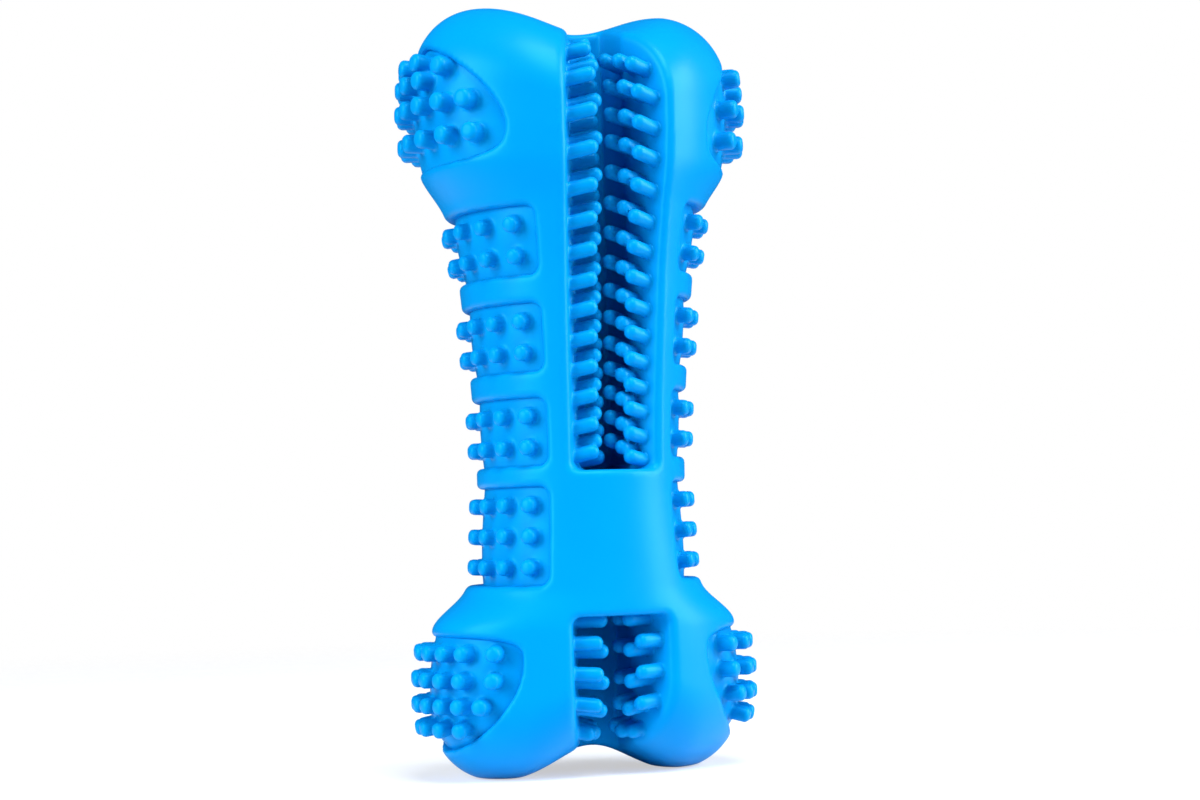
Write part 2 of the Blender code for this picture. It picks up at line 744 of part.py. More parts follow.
def build():
    clear_scene()
    blue = rubber("blue_rubber", RUBBER_BLUE)
    deep = rubber("blue_rubber_bristles", RUBBER_DEEP)
    body = add_object("bone_body", bone_skin(), blue)

    top_pad, bottom_pad = knob_pads()
    windows = bmesh.new()
    pockets = bmesh.new()
    for side, side_name in ((-1, "left"), (1, "right")):
        named = [("pad_waist_%d" % (i + 1), pad) for i, pad in enumerate(waist_pads(side))]
        named += [("pad_top_knob", top_pad), ("pad_bottom_knob", bottom_pad)]
        for name, pad in named:
            nub_pad("%s_%s" % (name, side_name), pad, side, blue)
            curved_plate(windows, pad[0], pad[-1], -OVERCUT,
                         PAD_RECESS + PAD_THICKNESS + CLEARANCE, side)
        for face, face_name in ((1, "front"), (-1, "back")):
            for upper, level_name in ((True, "upper"), (False, "lower")):
                name = "bristles_%s_%s_%s" % (face_name, level_name, side_name)
                bristle_strip(name, upper, side, face, deep)
                strip_body(pockets, upper, side, face, CLEARANCE, POCKET_LIFT)

    floor = bmesh.new()
    bmesh.ops.create_cube(floor, size=HEIGHT)
    bmesh.ops.translate(floor, verts=floor.verts[:], vec=(0, 0, -HEIGHT / 2))
    boolean(body, add_cutter("floor_cutter", floor), "DIFFERENCE")
    boolean(body, add_cutter("window_cutter", windows), "DIFFERENCE")
    boolean(body, add_cutter("channel_cutter", channel_cutters()), "DIFFERENCE")
    boolean(body, add_cutter("pocket_cutter", pockets), "DIFFERENCE")


build()
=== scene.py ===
"""Looks of the rubber dog toothbrush toy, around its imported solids.

Every node gets a finer mesh around its solid. Each mesh is the zero surface of a distance field
in metres, so rims, pad edges and bristle roots come out rounded as the moulding is.
"""

import math

import bpy
import numpy as np
from mathutils import Matrix, Vector


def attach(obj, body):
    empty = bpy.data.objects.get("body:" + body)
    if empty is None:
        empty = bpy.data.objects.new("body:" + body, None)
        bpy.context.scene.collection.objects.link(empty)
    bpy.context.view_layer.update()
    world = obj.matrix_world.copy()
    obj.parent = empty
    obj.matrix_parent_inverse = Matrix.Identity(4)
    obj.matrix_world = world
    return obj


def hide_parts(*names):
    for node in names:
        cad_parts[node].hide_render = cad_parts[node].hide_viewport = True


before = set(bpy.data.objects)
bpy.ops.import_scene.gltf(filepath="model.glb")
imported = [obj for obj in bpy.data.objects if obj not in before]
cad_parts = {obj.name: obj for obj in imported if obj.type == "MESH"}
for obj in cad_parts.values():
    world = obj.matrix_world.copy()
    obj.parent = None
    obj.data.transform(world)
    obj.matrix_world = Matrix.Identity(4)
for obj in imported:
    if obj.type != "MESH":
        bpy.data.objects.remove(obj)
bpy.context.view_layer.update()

# Overall sizes
HEIGHT = 0.150
FOOT_FLAT = 0.0005

# Bottom knob
BOTTOM_KNOB_WIDTH = 0.0636
BOTTOM_KNOB_DEPTH = 0.0430
BOTTOM_BARREL = 0.0150
BOTTOM_FRONT_BEND = 0.0230
BOTTOM_LIP = 0.0290
BOTTOM_LIP_WIDTH = 0.0620
BOTTOM_NECK = 0.0372
BOTTOM_NECK_RADIUS = 0.0236

# Waist
WAIST_LOW = 0.0580
WAIST_RADIUS = 0.0206
WAIST_TAPER = 0.0024
WAIST_FLARE = 0.0008
WAIST_TOP_FROM_END = 0.0545

# Top knob, measured down from the top end
TOP_KNOB_WIDTH = 0.0634
TOP_KNOB_DEPTH = 0.0524
TOP_BARREL_FROM_END = 0.0185
TOP_FRONT_BEND_FROM_END = 0.0245
TOP_LIP_FROM_END = 0.0305
TOP_LIP_WIDTH = 0.0620
TOP_LIP_STEP = 0.0006
TOP_NECK_FROM_END = 0.0400
TOP_NECK_RADIUS = 0.0256
TOP_NECK_LEDGE = 0.0006

# Ends
HUMP_OFFSET = 0.0182
TOP_VALLEY = 0.0040
BOTTOM_VALLEY = 0.0058
CROWN_SLOPE = 0.30
CROWN_BEND = 0.0050
END_ROUNDING = 0.0130

# Channels
WEB_THICKNESS = 0.0050
CHANNEL_FLOOR_WIDTH = 0.0110
BRIDGE_LOW = 0.0315
BRIDGE_HIGH = 0.0594
UPPER_CORNER_DEPTH = 0.0137
LOWER_CORNER_DEPTH = 0.0100
WAIST_WALL_SLOPE = 0.80
KNOB_WALL_SLOPE = 0.474
RIM_ROUNDING = 0.0012
CHANNEL_END_ROUNDING = 0.0018
WEB_FILLET = 0.0010

# Bristles, and the thin strips on the channel walls that carry them
STRIP_THICKNESS = 0.0014
STRIP_SUNK = 0.00008
STRIP_INNER_EDGE = 0.006
STRIP_END_GAP = 0.0002
UPPER_STRIP_TOP_FROM_END = 0.007
LOWER_STRIP_LOW = 0.006
BRISTLE_RADIUS = 0.00142
BRISTLE_TIP_SHARE = 0.96
BRISTLE_FILLET = 0.0003
BRISTLE_END_MARGIN = 0.0016
BRISTLE_TOP_FROM_END = 0.0096
WAIST_RIM_DISTANCE = 0.0063
KNOB_RIM_GROWTH = 0.0058
# Three rows of each wall, the front row first; a pair is the value at the waist and at the knob
RIM_OFFSETS = ((0.0038, 0.0038), (0.0060, 0.0065), (0.0087, 0.0107))
UPPER_TIP_GAPS = ((0.0055, 0.0073), (0.0032, 0.0035), (0.0003, 0.0013))
UPPER_LEANS = ((0.44, 0.44), (0.56, 0.35), (0.46, 0.22))
LOWER_TIP_GAPS = (0.0068, 0.0033, 0.0026)
LOWER_LEANS = (0.29, 0.37, 0.12)
UPPER_RISE = 0.23
LOWER_END_RISE = 0.45
# Heights of the bristle tips in the front row of the upper channel, left and right wall
UPPER_TIPS = {
    -1: (0.1394, 0.1340, 0.1272, 0.1201, 0.1132, 0.1070, 0.1013, 0.0956, 0.0902, 0.0847, 0.0791,
         0.0736, 0.0681, 0.0628),
    1: (0.1366, 0.1310, 0.1251, 0.1194, 0.1134, 0.1075, 0.1018, 0.0962, 0.0908, 0.0856, 0.0806,
        0.0757, 0.0711, 0.0663, 0.0618),
}
ROW_STEPS = {-1: (0.0, 0.0021, -0.0011), 1: (0.0, 0.0019, 0.0033)}
ROW_STEP_FADE = 0.040
LOWER_TIPS = (
    (0.0264, 0.0204, 0.0144, 0.0087),
    (0.0306, 0.0247, 0.0187, 0.0133, 0.0088),
    (0.0306, 0.0253, 0.0192, 0.0142, 0.0097),
)

# Nubbed pads
PAD_RECESS = 0.0015
PAD_THICKNESS = 0.0014
PAD_HALF_ANGLE = math.radians(51)
PAD_CORNER = 0.0020
PAD_OVERLAP = 0.0004
WINDOW_ROUNDING = 0.0011
NUB_RADIUS = 0.00155
NUB_TIP_ROUNDING = 0.00105
NUB_FILLET = 0.0005
NUB_PROUD = 0.0017
NUB_PITCH_ANGLE = math.radians(16.2)
NUBS_PER_ROW = 6
WAIST_PAD_BULGE = 0.0004
WAIST_PAD_ROWS = (3, 2, 2, 2)
PAD_EDGE_SHARE = 0.585
LEFT_BAND_SHARES = (0.68, 0.85, 0.90)
LEFT_PADS_OVER_NECK = 0.0004
LEFT_PADS_TOP_FROM_END = 0.0404
RIGHT_BAND_SHARES = (0.83, 0.85, 0.85)
RIGHT_PADS_OVER_NECK = 0.0009
RIGHT_PADS_TOP_FROM_END = 0.0392
KNOB_PAD_BULGE = 0.0015
KNOB_NUB_LENGTH = 0.0038
TOP_NUB_RADIUS = 0.0018
BOTTOM_NUB_RADIUS = 0.0016
TOP_PAD_BASE_FROM_END = 0.0250
TOP_PAD_REACH = 0.0166
TOP_PAD_BASE_REACH = 0.0064
TOP_PAD_HALF_ANGLE = math.radians(48)
BOTTOM_PAD_BASE = 0.0237
BOTTOM_PAD_REACH = 0.0176
BOTTOM_PAD_BASE_REACH = 0.0042
BOTTOM_PAD_HALF_ANGLE = math.radians(52)
OVAL_SQUARENESS = 3.5
TOP_OVAL_FULLNESS = 1.6
BOTTOM_OVAL_FULLNESS = 2.0
TOP_PAD_NUBS = (
    (-0.0016, (-36.2, -24.2, -12.2, -0.2, 11.8, 23.8, 35.8)),
    (0.0047, (-34.0, -22.9, -11.8, -0.7, 10.4, 21.5, 32.6)),
    (0.0095, (-11.8, -0.5, 10.8, 22.1)),
    (0.0115, (-22.5,)),
    (0.0130, (-8.7, 4.3, 17.3)),
)
BOTTOM_PAD_NUBS = (
    (-0.0013, (-41.7, -27.9, -17.1, -6.3, 4.5, 15.3, 26.1, 39.9)),
    (0.0038, (-41.0, -27.0, -16.6, -6.2, 4.2, 14.6, 25.0, 39.0)),
    (0.0087, (-35.6, -26.0, -16.4, -6.8, 2.8, 12.4, 22.0, 31.6)),
    (0.0129, (-24.6, -13.6, -2.6, 8.4, 19.4)),
)

# Meshing: cell sizes, how far the boxes reach past what they hold, and the searches
BODY_STEP = 0.00065
DETAIL_STEP = 0.0005
WINDOW_MARGIN = 0.003
STUD_MARGIN = 0.003
PAD_BOX_MARGIN = 0.001
PAD_BOX_INNER_SHARE = 0.6
STRIP_BOX_X = (-0.001, 0.0135)
STRIP_BOX_Y = (-0.0275, -0.004)
STRIP_BOX_TOP_MARGIN = 0.001
PROJECTION_PASSES = 3
GRADIENT_STEP = 0.00004
NORMAL_STEP = 0.0002
HALVINGS = 40
RIM_SEARCH_END = 0.03

# Photograph: its frame, and where the bone's middle stands in it
PHOTO_WIDTH = 1200
PHOTO_HEIGHT = 800
AXIS_X = 582
EYE_Y = 520
PIXELS_PER_METRE = 5040
FOCAL_PIXELS = 2300
EYE_HEIGHT = 0.0499
CAMERA_TURN = math.radians(21)
CAMERA_ROLL = math.radians(1.55)
SENSOR_WIDTH = 36

# Rubber
AZURE = (0.0, 0.25, 0.63, 1)
DEEP_AZURE = (0.0, 0.235, 0.62, 1)
MOULDING_ROUGHNESS = 0.34
BRISTLE_ROUGHNESS = 0.32
CLOUD_SCALE = 60
SMEAR_SCALE = 240
GRAIN_SCALE = 2200
GRAIN_STRENGTH = 0.12
GRAIN_DEPTH = 0.00005
HIGHLIGHT_LEVEL = 0.24
HIGHLIGHT_TINT = (0.02, 0.75, 1.0, 1)

# Stage: a pale floor that fades out into a white sky, and three softboxes
FLOOR_REACH = 4.0
FLOOR_COLOUR = (0.74, 0.81, 0.89, 1)
FLOOR_ROUGHNESS = 0.22
FLOOR_HIGHLIGHT_LEVEL = 0.25
FLOOR_GLOW = 0.55
FLOOR_FADE_START = 0.18
FLOOR_FADE_END = 0.55
SKY_LIGHT = 0.02
SOFTBOXES = (
    ("left_box", (-0.90, -0.24, 0.38), 0.50, 0.80, 13.0),
    ("right_box", (0.76, -0.42, 0.41), 0.45, 0.80, 13.0),
    ("top_box", (0.0, -0.45, 0.90), 0.50, 0.50, 9.0),
)


class Stations:
    """Smooth curve through (z, value) stations, level at each local extreme."""

    def __init__(self, pairs):
        self.z = np.array([pair[0] for pair in pairs])
        self.v = np.array([pair[1] for pair in pairs])
        rise = np.diff(self.v) / np.diff(self.z)
        self.slope = np.zeros(len(pairs))
        for i in range(1, len(pairs) - 1):
            if rise[i - 1] * rise[i] > 0:
                self.slope[i] = 2 * rise[i - 1] * rise[i] / (rise[i - 1] + rise[i])

    def __call__(self, z):
        z = np.clip(z, self.z[0], self.z[-1])
        i = np.clip(np.searchsorted(self.z, z) - 1, 0, len(self.z) - 2)
        span = self.z[i + 1] - self.z[i]
        t = (z - self.z[i]) / span
        s = 1 - t
        return (self.v[i] * (1 + 2 * t) * s ** 2 + self.v[i + 1] * t * t * (3 - 2 * t)
                + span * (self.slope[i] * t * s ** 2 - self.slope[i + 1] * t * t * s))


waist_radius = Stations([
    (BOTTOM_NECK, WAIST_RADIUS + WAIST_FLARE),
    (WAIST_LOW, WAIST_RADIUS),
    (HEIGHT - WAIST_TOP_FROM_END, WAIST_RADIUS + WAIST_TAPER),
    (HEIGHT - TOP_NECK_FROM_END, TOP_NECK_RADIUS - TOP_NECK_LEDGE),
])
half_width = Stations([
    (BOTTOM_BARREL, BOTTOM_KNOB_WIDTH / 2),
    (BOTTOM_LIP, BOTTOM_LIP_WIDTH / 2),
    (BOTTOM_NECK, BOTTOM_NECK_RADIUS),
    (WAIST_LOW, WAIST_RADIUS),
    (HEIGHT - WAIST_TOP_FROM_END, WAIST_RADIUS + WAIST_TAPER),
    (HEIGHT - TOP_NECK_FROM_END, TOP_NECK_RADIUS),
    (HEIGHT - TOP_LIP_FROM_END, TOP_LIP_WIDTH / 2),
    (HEIGHT - TOP_BARREL_FROM_END, TOP_KNOB_WIDTH / 2),
])
half_depth = Stations([
    (BOTTOM_FRONT_BEND, BOTTOM_KNOB_DEPTH / 2),
    (WAIST_LOW, WAIST_RADIUS),
    (HEIGHT - WAIST_TOP_FROM_END, WAIST_RADIUS + WAIST_TAPER),
    (HEIGHT - TOP_LIP_FROM_END, (TOP_KNOB_DEPTH - TOP_LIP_STEP) / 2),
    (HEIGHT - TOP_FRONT_BEND_FROM_END, TOP_KNOB_DEPTH / 2),
])


def whole_section(z):
    return half_width(z), half_depth(z)


def waist_section(z):
    return waist_radius(z), waist_radius(z)


def bottom_knob_section(z):
    return BOTTOM_KNOB_WIDTH / 2 + 0 * z, BOTTOM_KNOB_DEPTH / 2 + 0 * z


def top_knob_section(z):
    return TOP_KNOB_WIDTH / 2 + 0 * z, TOP_KNOB_DEPTH / 2 + 0 * z


def both(a, b, radius):
    """Intersection of two fields, its edge rounded."""
    return (np.minimum(-radius, np.maximum(a, b))
            + np.hypot(np.maximum(a + radius, 0), np.maximum(b + radius, 0)))


def either(a, b, radius):
    """Union of two fields, with a fillet where they meet."""
    return (np.maximum(radius, np.minimum(a, b))
            - np.hypot(np.maximum(radius - a, 0), np.maximum(radius - b, 0)))


def hump(x, valley):
    share = np.clip(np.abs(x) / HUMP_OFFSET, 0, 1)
    return valley * (1 + np.cos(np.pi * share)) / 2


def crown(y):
    return CROWN_SLOPE * (np.hypot(y, CROWN_BEND) - CROWN_BEND)


def skin(p, section=whole_section):
    """Distance, nearly, to the outer skin of the bone: negative inside."""
    x, y, z = p
    a, b = section(z)
    reach = np.hypot(x / a, y / b)
    slope = np.hypot(x / a ** 2, y / b ** 2)
    side = np.where(slope > 1e-3, (reach - 1) * reach / np.maximum(slope, 1e-3), -np.minimum(a, b))
    top = z - HEIGHT + hump(x, TOP_VALLEY)
    bottom = -FOOT_FLAT - z + hump(x, BOTTOM_VALLEY)
    return both(side, np.maximum(top, bottom) + crown(y), END_ROUNDING)


def wall_slope(z):
    knob = HEIGHT - TOP_LIP_FROM_END
    share = np.clip((z - BRIDGE_HIGH) / (knob - BRIDGE_HIGH), 0, 1)
    upper = WAIST_WALL_SLOPE + (KNOB_WALL_SLOPE - WAIST_WALL_SLOPE) * share
    return np.where(z <= (BRIDGE_LOW + BRIDGE_HIGH) / 2, KNOB_WALL_SLOPE, upper)


def corner_depth(z):
    return np.where(z <= (BRIDGE_LOW + BRIDGE_HIGH) / 2, LOWER_CORNER_DEPTH, UPPER_CORNER_DEPTH)


def wall_field(p):
    """Distance to a channel's side walls: negative between them."""
    x, y, z = p
    slope = wall_slope(z)
    straight = np.abs(x) - CHANNEL_FLOOR_WIDTH / 2
    slanted = (straight - slope * (np.abs(y) - corner_depth(z))) / np.hypot(1, slope)
    return np.minimum(straight, slanted)


def channel_field(p):
    """Distance to the channels: negative in them."""
    x, y, z = p
    across = both(wall_field(p), WEB_THICKNESS / 2 - np.abs(y), WEB_FILLET)
    along = np.minimum(z - BRIDGE_LOW, BRIDGE_HIGH - z)
    return both(across, along, CHANNEL_END_ROUNDING)


def section_angle(p, section):
    """Angle round a side from its middle, as the section's own parameter."""
    x, y, z = p
    a, b = section(z)
    return np.arctan2(y / b, np.abs(x) / a)


def superellipse(u, v, reach_u, reach_v, power):
    """Distance, nearly, to |u|^p + |v|^p = 1 with the given reaches."""
    a = np.abs(u) / reach_u
    b = np.abs(v) / reach_v
    size = np.maximum((a ** power + b ** power) ** (1 / power), 1e-6)
    slope = np.hypot(a ** (power - 1) / reach_u, b ** (power - 1) / reach_v) / size ** (power - 1)
    return (size - 1) / np.maximum(slope, 1e-3)


def dome(across, along):
    """Share of a pad's bulge: 1 in its middle and 0 at its edges."""
    return np.maximum(1 - across ** 2, 0) * np.maximum(1 - along ** 2, 0)


class WaistPad:
    """A rounded rectangle round one side of the waist, with rows of nubs."""
    section = staticmethod(waist_section)
    nub_radius = NUB_RADIUS

    def __init__(self, name, low, high, rows, pitch):
        self.name = name
        self.low = low
        self.high = high
        self.nubs = []
        for row in range(rows):
            for i in range(NUBS_PER_ROW):
                angle = (i - (NUBS_PER_ROW - 1) / 2) * NUB_PITCH_ANGLE
                self.nubs.append((angle, low + (PAD_EDGE_SHARE + row) * pitch))

    def recess(self, p):
        across = section_angle(p, waist_section) / PAD_HALF_ANGLE
        along = (2 * p[2] - self.low - self.high) / (self.high - self.low)
        return PAD_RECESS - WAIST_PAD_BULGE * dome(across, along)

    def nub_length(self, recess):
        return recess + NUB_PROUD

    def outline(self, p, grow):
        middle = (self.low + self.high) / 2
        radius = waist_radius(middle)
        u = np.abs(section_angle(p, waist_section)) * radius - PAD_HALF_ANGLE * radius + PAD_CORNER
        v = np.abs(p[2] - middle) - (self.high - self.low) / 2 + PAD_CORNER
        outside = np.hypot(np.maximum(u, 0), np.maximum(v, 0))
        return outside + np.minimum(np.maximum(u, v), 0) - PAD_CORNER - grow


class KnobPad:
    """A half oval with a squarer base edge, round one side of a knob."""

    def __init__(self, name, base, reach, base_reach, half_angle, way, fullness, section,
                 nub_radius, rows):
        self.name = name
        self.fullness = fullness
        self.nub_radius = nub_radius
        self.base = base
        self.reach = reach
        self.base_reach = base_reach
        self.half_angle = half_angle
        self.way = way
        self.section = section
        ends = (base - way * base_reach, base + way * reach)
        self.low = min(ends)
        self.high = max(ends)
        self.nubs = []
        for offset, angles in rows:
            self.nubs += [(math.radians(angle), base + way * offset) for angle in angles]

    def recess(self, p):
        across = np.clip(section_angle(p, self.section) / self.half_angle, -0.98, 0.98)
        squarer = (1 - np.abs(across) ** OVAL_SQUARENESS) ** (1 / OVAL_SQUARENESS)
        apex = self.way * self.reach * np.sqrt(1 - across ** 2)
        foot = -self.way * self.base_reach * squarer
        along = (2 * (p[2] - self.base) - apex - foot) / (apex - foot)
        return PAD_RECESS - KNOB_PAD_BULGE * dome(across, along)

    def nub_length(self, recess):
        return KNOB_NUB_LENGTH

    def outline(self, p, grow):
        radius = self.section(self.base)[0]
        u = section_angle(p, self.section) * radius
        v = (p[2] - self.base) * self.way
        reach_u = self.half_angle * radius
        round_side = superellipse(u, v, reach_u, self.reach, self.fullness)
        base_side = superellipse(u, v, reach_u, self.base_reach, OVAL_SQUARENESS)
        return np.where(v > 0, round_side, base_side) - grow


def waist_pads(side):
    if side < 0:
        low = BOTTOM_NECK + LEFT_PADS_OVER_NECK
        top = HEIGHT - LEFT_PADS_TOP_FROM_END
        bands = LEFT_BAND_SHARES
    else:
        low = BOTTOM_NECK + RIGHT_PADS_OVER_NECK
        top = HEIGHT - RIGHT_PADS_TOP_FROM_END
        bands = RIGHT_BAND_SHARES
    pads = []
    pitches = [2 * PAD_EDGE_SHARE + rows - 1 for rows in WAIST_PAD_ROWS]
    pitch = (top - low) / (sum(pitches) + sum(bands))
    for i, (rows, tall, band) in enumerate(zip(WAIST_PAD_ROWS, pitches, bands + (0.0,))):
        high = low + tall * pitch
        pads.append(WaistPad("pad_waist_%d" % (i + 1), low, high, rows, pitch))
        low = high + band * pitch
    return pads


KNOB_PADS = [
    KnobPad("pad_top_knob", HEIGHT - TOP_PAD_BASE_FROM_END, TOP_PAD_REACH, TOP_PAD_BASE_REACH,
            TOP_PAD_HALF_ANGLE, 1, TOP_OVAL_FULLNESS, top_knob_section, TOP_NUB_RADIUS,
            TOP_PAD_NUBS),
    KnobPad("pad_bottom_knob", BOTTOM_PAD_BASE, BOTTOM_PAD_REACH, BOTTOM_PAD_BASE_REACH,
            BOTTOM_PAD_HALF_ANGLE, -1, BOTTOM_OVAL_FULLNESS, bottom_knob_section,
            BOTTOM_NUB_RADIUS, BOTTOM_PAD_NUBS),
]
PADS = {side: waist_pads(side) + KNOB_PADS for side in (-1, 1)}


def body_field(p):
    """The bone with its channels and its pad windows."""
    x, y, z = p
    field = both(skin(p), -channel_field(p), RIM_ROUNDING)
    for side, pads in PADS.items():
        for pad in pads:
            near = ((z > pad.low - WINDOW_MARGIN) & (z < pad.high + WINDOW_MARGIN)
                    & (side * x > CHANNEL_FLOOR_WIDTH))
            if not near.any():
                continue
            q = (x[near], y[near], z[near])
            floor = -(skin(q, pad.section) + PAD_RECESS + PAD_THICKNESS)
            window = np.maximum(pad.outline(q, 0.0), floor)
            field[near] = both(field[near], -window, WINDOW_ROUNDING)
    return both(field, -z, FOOT_FLAT)


def stud_field(p, root, axis, length, radius, tip_rounding, buried):
    """Round-tipped stud, straight from its root."""
    along = sum((p[i] - root[i]) * axis[i] for i in range(3))
    out = np.sqrt(np.maximum(sum((p[i] - root[i]) ** 2 for i in range(3)) - along ** 2, 0))
    q_out = out - (radius - tip_rounding)
    q_along = along - (length - tip_rounding)
    tip = (np.hypot(np.maximum(q_out, 0), np.maximum(q_along, 0))
           + np.minimum(np.maximum(q_out, q_along), 0) - tip_rounding)
    return np.maximum(tip, -buried - along)


def with_studs(base, p, studs, fillet):
    """Field of a base with studs on it: root, axis, length, radius, tip rounding and burial."""
    field = base
    for stud in studs:
        root, axis, length = stud[:3]
        middle = root + axis * (length / 2)
        reach = length / 2 + stud[3] + STUD_MARGIN
        near = np.ones(len(p[0]), bool)
        for i in range(3):
            near &= np.abs(p[i] - middle[i]) < reach
        if near.any():
            q = [c[near] for c in p]
            field[near] = either(field[near], stud_field(q, *stud), fillet)
    return field


def reach_inside(point_at, far, section=whole_section):
    """How far the points of a path stay inside the skin."""
    near = 0.0
    for _ in range(HALVINGS):
        middle = (near + far) / 2
        if skin([np.array([c]) for c in point_at(middle)], section)[0] < 0:
            near = middle
        else:
            far = middle
    return near


def cast(direction, z, section):
    """Point of the skin in a level direction from the middle at height z."""
    def point_at(reach):
        return direction[0] * reach, direction[1] * reach, z
    return np.array(point_at(reach_inside(point_at, HEIGHT / 2, section)))


def gradient(field, p, step=GRADIENT_STEP):
    parts = []
    for axis in range(3):
        ahead = [c + step if i == axis else c for i, c in enumerate(p)]
        behind = [c - step if i == axis else c for i, c in enumerate(p)]
        parts.append((field(ahead) - field(behind)) / (2 * step))
    return parts


def pad_studs(pad):
    """Nubs of a pad on the left side, square to the skin."""
    studs = []
    for angle, z in pad.nubs:
        a, b = (float(value) for value in pad.section(np.float64(z)))
        level = np.array([-a * math.cos(angle), b * math.sin(angle)])
        surface = cast(level / np.linalg.norm(level), z, pad.section)
        slope = gradient(lambda p: skin(p, pad.section), [np.array([c]) for c in surface],
                         NORMAL_STEP)
        out = np.array([part[0] for part in slope])
        out /= np.linalg.norm(out)
        recess = float(pad.recess([np.array([c]) for c in surface])[0])
        studs.append((surface - out * recess, out, pad.nub_length(recess), pad.nub_radius,
                      NUB_TIP_ROUNDING, PAD_THICKNESS / 2))
    return studs


def pad_field(pad, studs):
    def field(p):
        depth = skin(p, pad.section)
        plate = np.maximum(depth + pad.recess(p), -(depth + PAD_RECESS + PAD_THICKNESS))
        plate = np.maximum(plate, pad.outline(p, PAD_OVERLAP))
        return with_studs(plate, p, studs, NUB_FILLET)
    return field


def wall_point(z, distance):
    """Point on the front right channel wall: 0 is the corner, more is towards the rim."""
    corner = np.array([CHANNEL_FLOOR_WIDTH / 2, -float(corner_depth(z)), z])
    if distance <= 0:
        return corner + np.array([0, -distance, 0])
    slant = np.array([float(wall_slope(z)), -1, 0])
    return corner + slant / np.linalg.norm(slant) * distance


def rim_distance(z):
    """Distance along a front wall from its corner to the skin."""
    return reach_inside(lambda distance: wall_point(z, distance), RIM_SEARCH_END)


def between(pair, share):
    """Value between those at the waist and at the knob."""
    return pair[0] + (pair[1] - pair[0]) * share


def bristle_tips(upper, side, row):
    """Heights of the tips of one row."""
    if not upper:
        return LOWER_TIPS[row]
    heights = np.array(UPPER_TIPS[side])
    share = np.clip(0.5 + (heights[0] - heights) / ROW_STEP_FADE, 0, 1) if side > 0 else 1
    return heights + ROW_STEPS[side][row] * share


def bristle_studs(upper, side):
    """Bristles of one front strip."""
    studs = []
    for row in range(3):
        for tip in bristle_tips(upper, side, row):
            rim = rim_distance(tip)
            share = min(max((rim - WAIST_RIM_DISTANCE) / KNOB_RIM_GROWTH, 0), 1)
            root = wall_point(tip, rim - between(RIM_OFFSETS[row], share))
            if upper:
                gap = between(UPPER_TIP_GAPS[row], share)
                lean = between(UPPER_LEANS[row], share)
                rise = UPPER_RISE
                low = BRIDGE_HIGH + BRISTLE_END_MARGIN
                high = HEIGHT - BRISTLE_TOP_FROM_END
            else:
                gap = LOWER_TIP_GAPS[row]
                lean = LOWER_LEANS[row]
                rise = -LOWER_END_RISE * (1 - tip / BRIDGE_LOW) ** 2
                low = BOTTOM_VALLEY
                high = BRIDGE_LOW - BRISTLE_RADIUS / 2
            run = root[0] - gap / 2
            root[2] = min(max(tip - rise * (run - BRISTLE_RADIUS), low), high)
            axis = np.array([-1, -lean, rise]) * run
            length = np.linalg.norm(axis)
            axis /= length
            turn = np.array([side, 1, 1])
            studs.append((root * turn, axis * turn, length, BRISTLE_RADIUS,
                          BRISTLE_TIP_SHARE * BRISTLE_RADIUS, STRIP_THICKNESS / 2))
    return studs


def strip_field(studs, side, low, high):
    def field(p):
        x, y, z = p
        wall = wall_field(p)
        slab = np.maximum(-(wall - STRIP_SUNK), wall - STRIP_SUNK - STRIP_THICKNESS)
        slab = np.maximum(slab, skin(p) + BRISTLE_RADIUS / 2)
        slab = np.maximum(slab, np.maximum(low - z, z - high))
        slab = np.maximum(slab, np.maximum(y + STRIP_INNER_EDGE, -side * x))
        return with_studs(slab, p, studs, BRISTLE_FILLET)
    return field


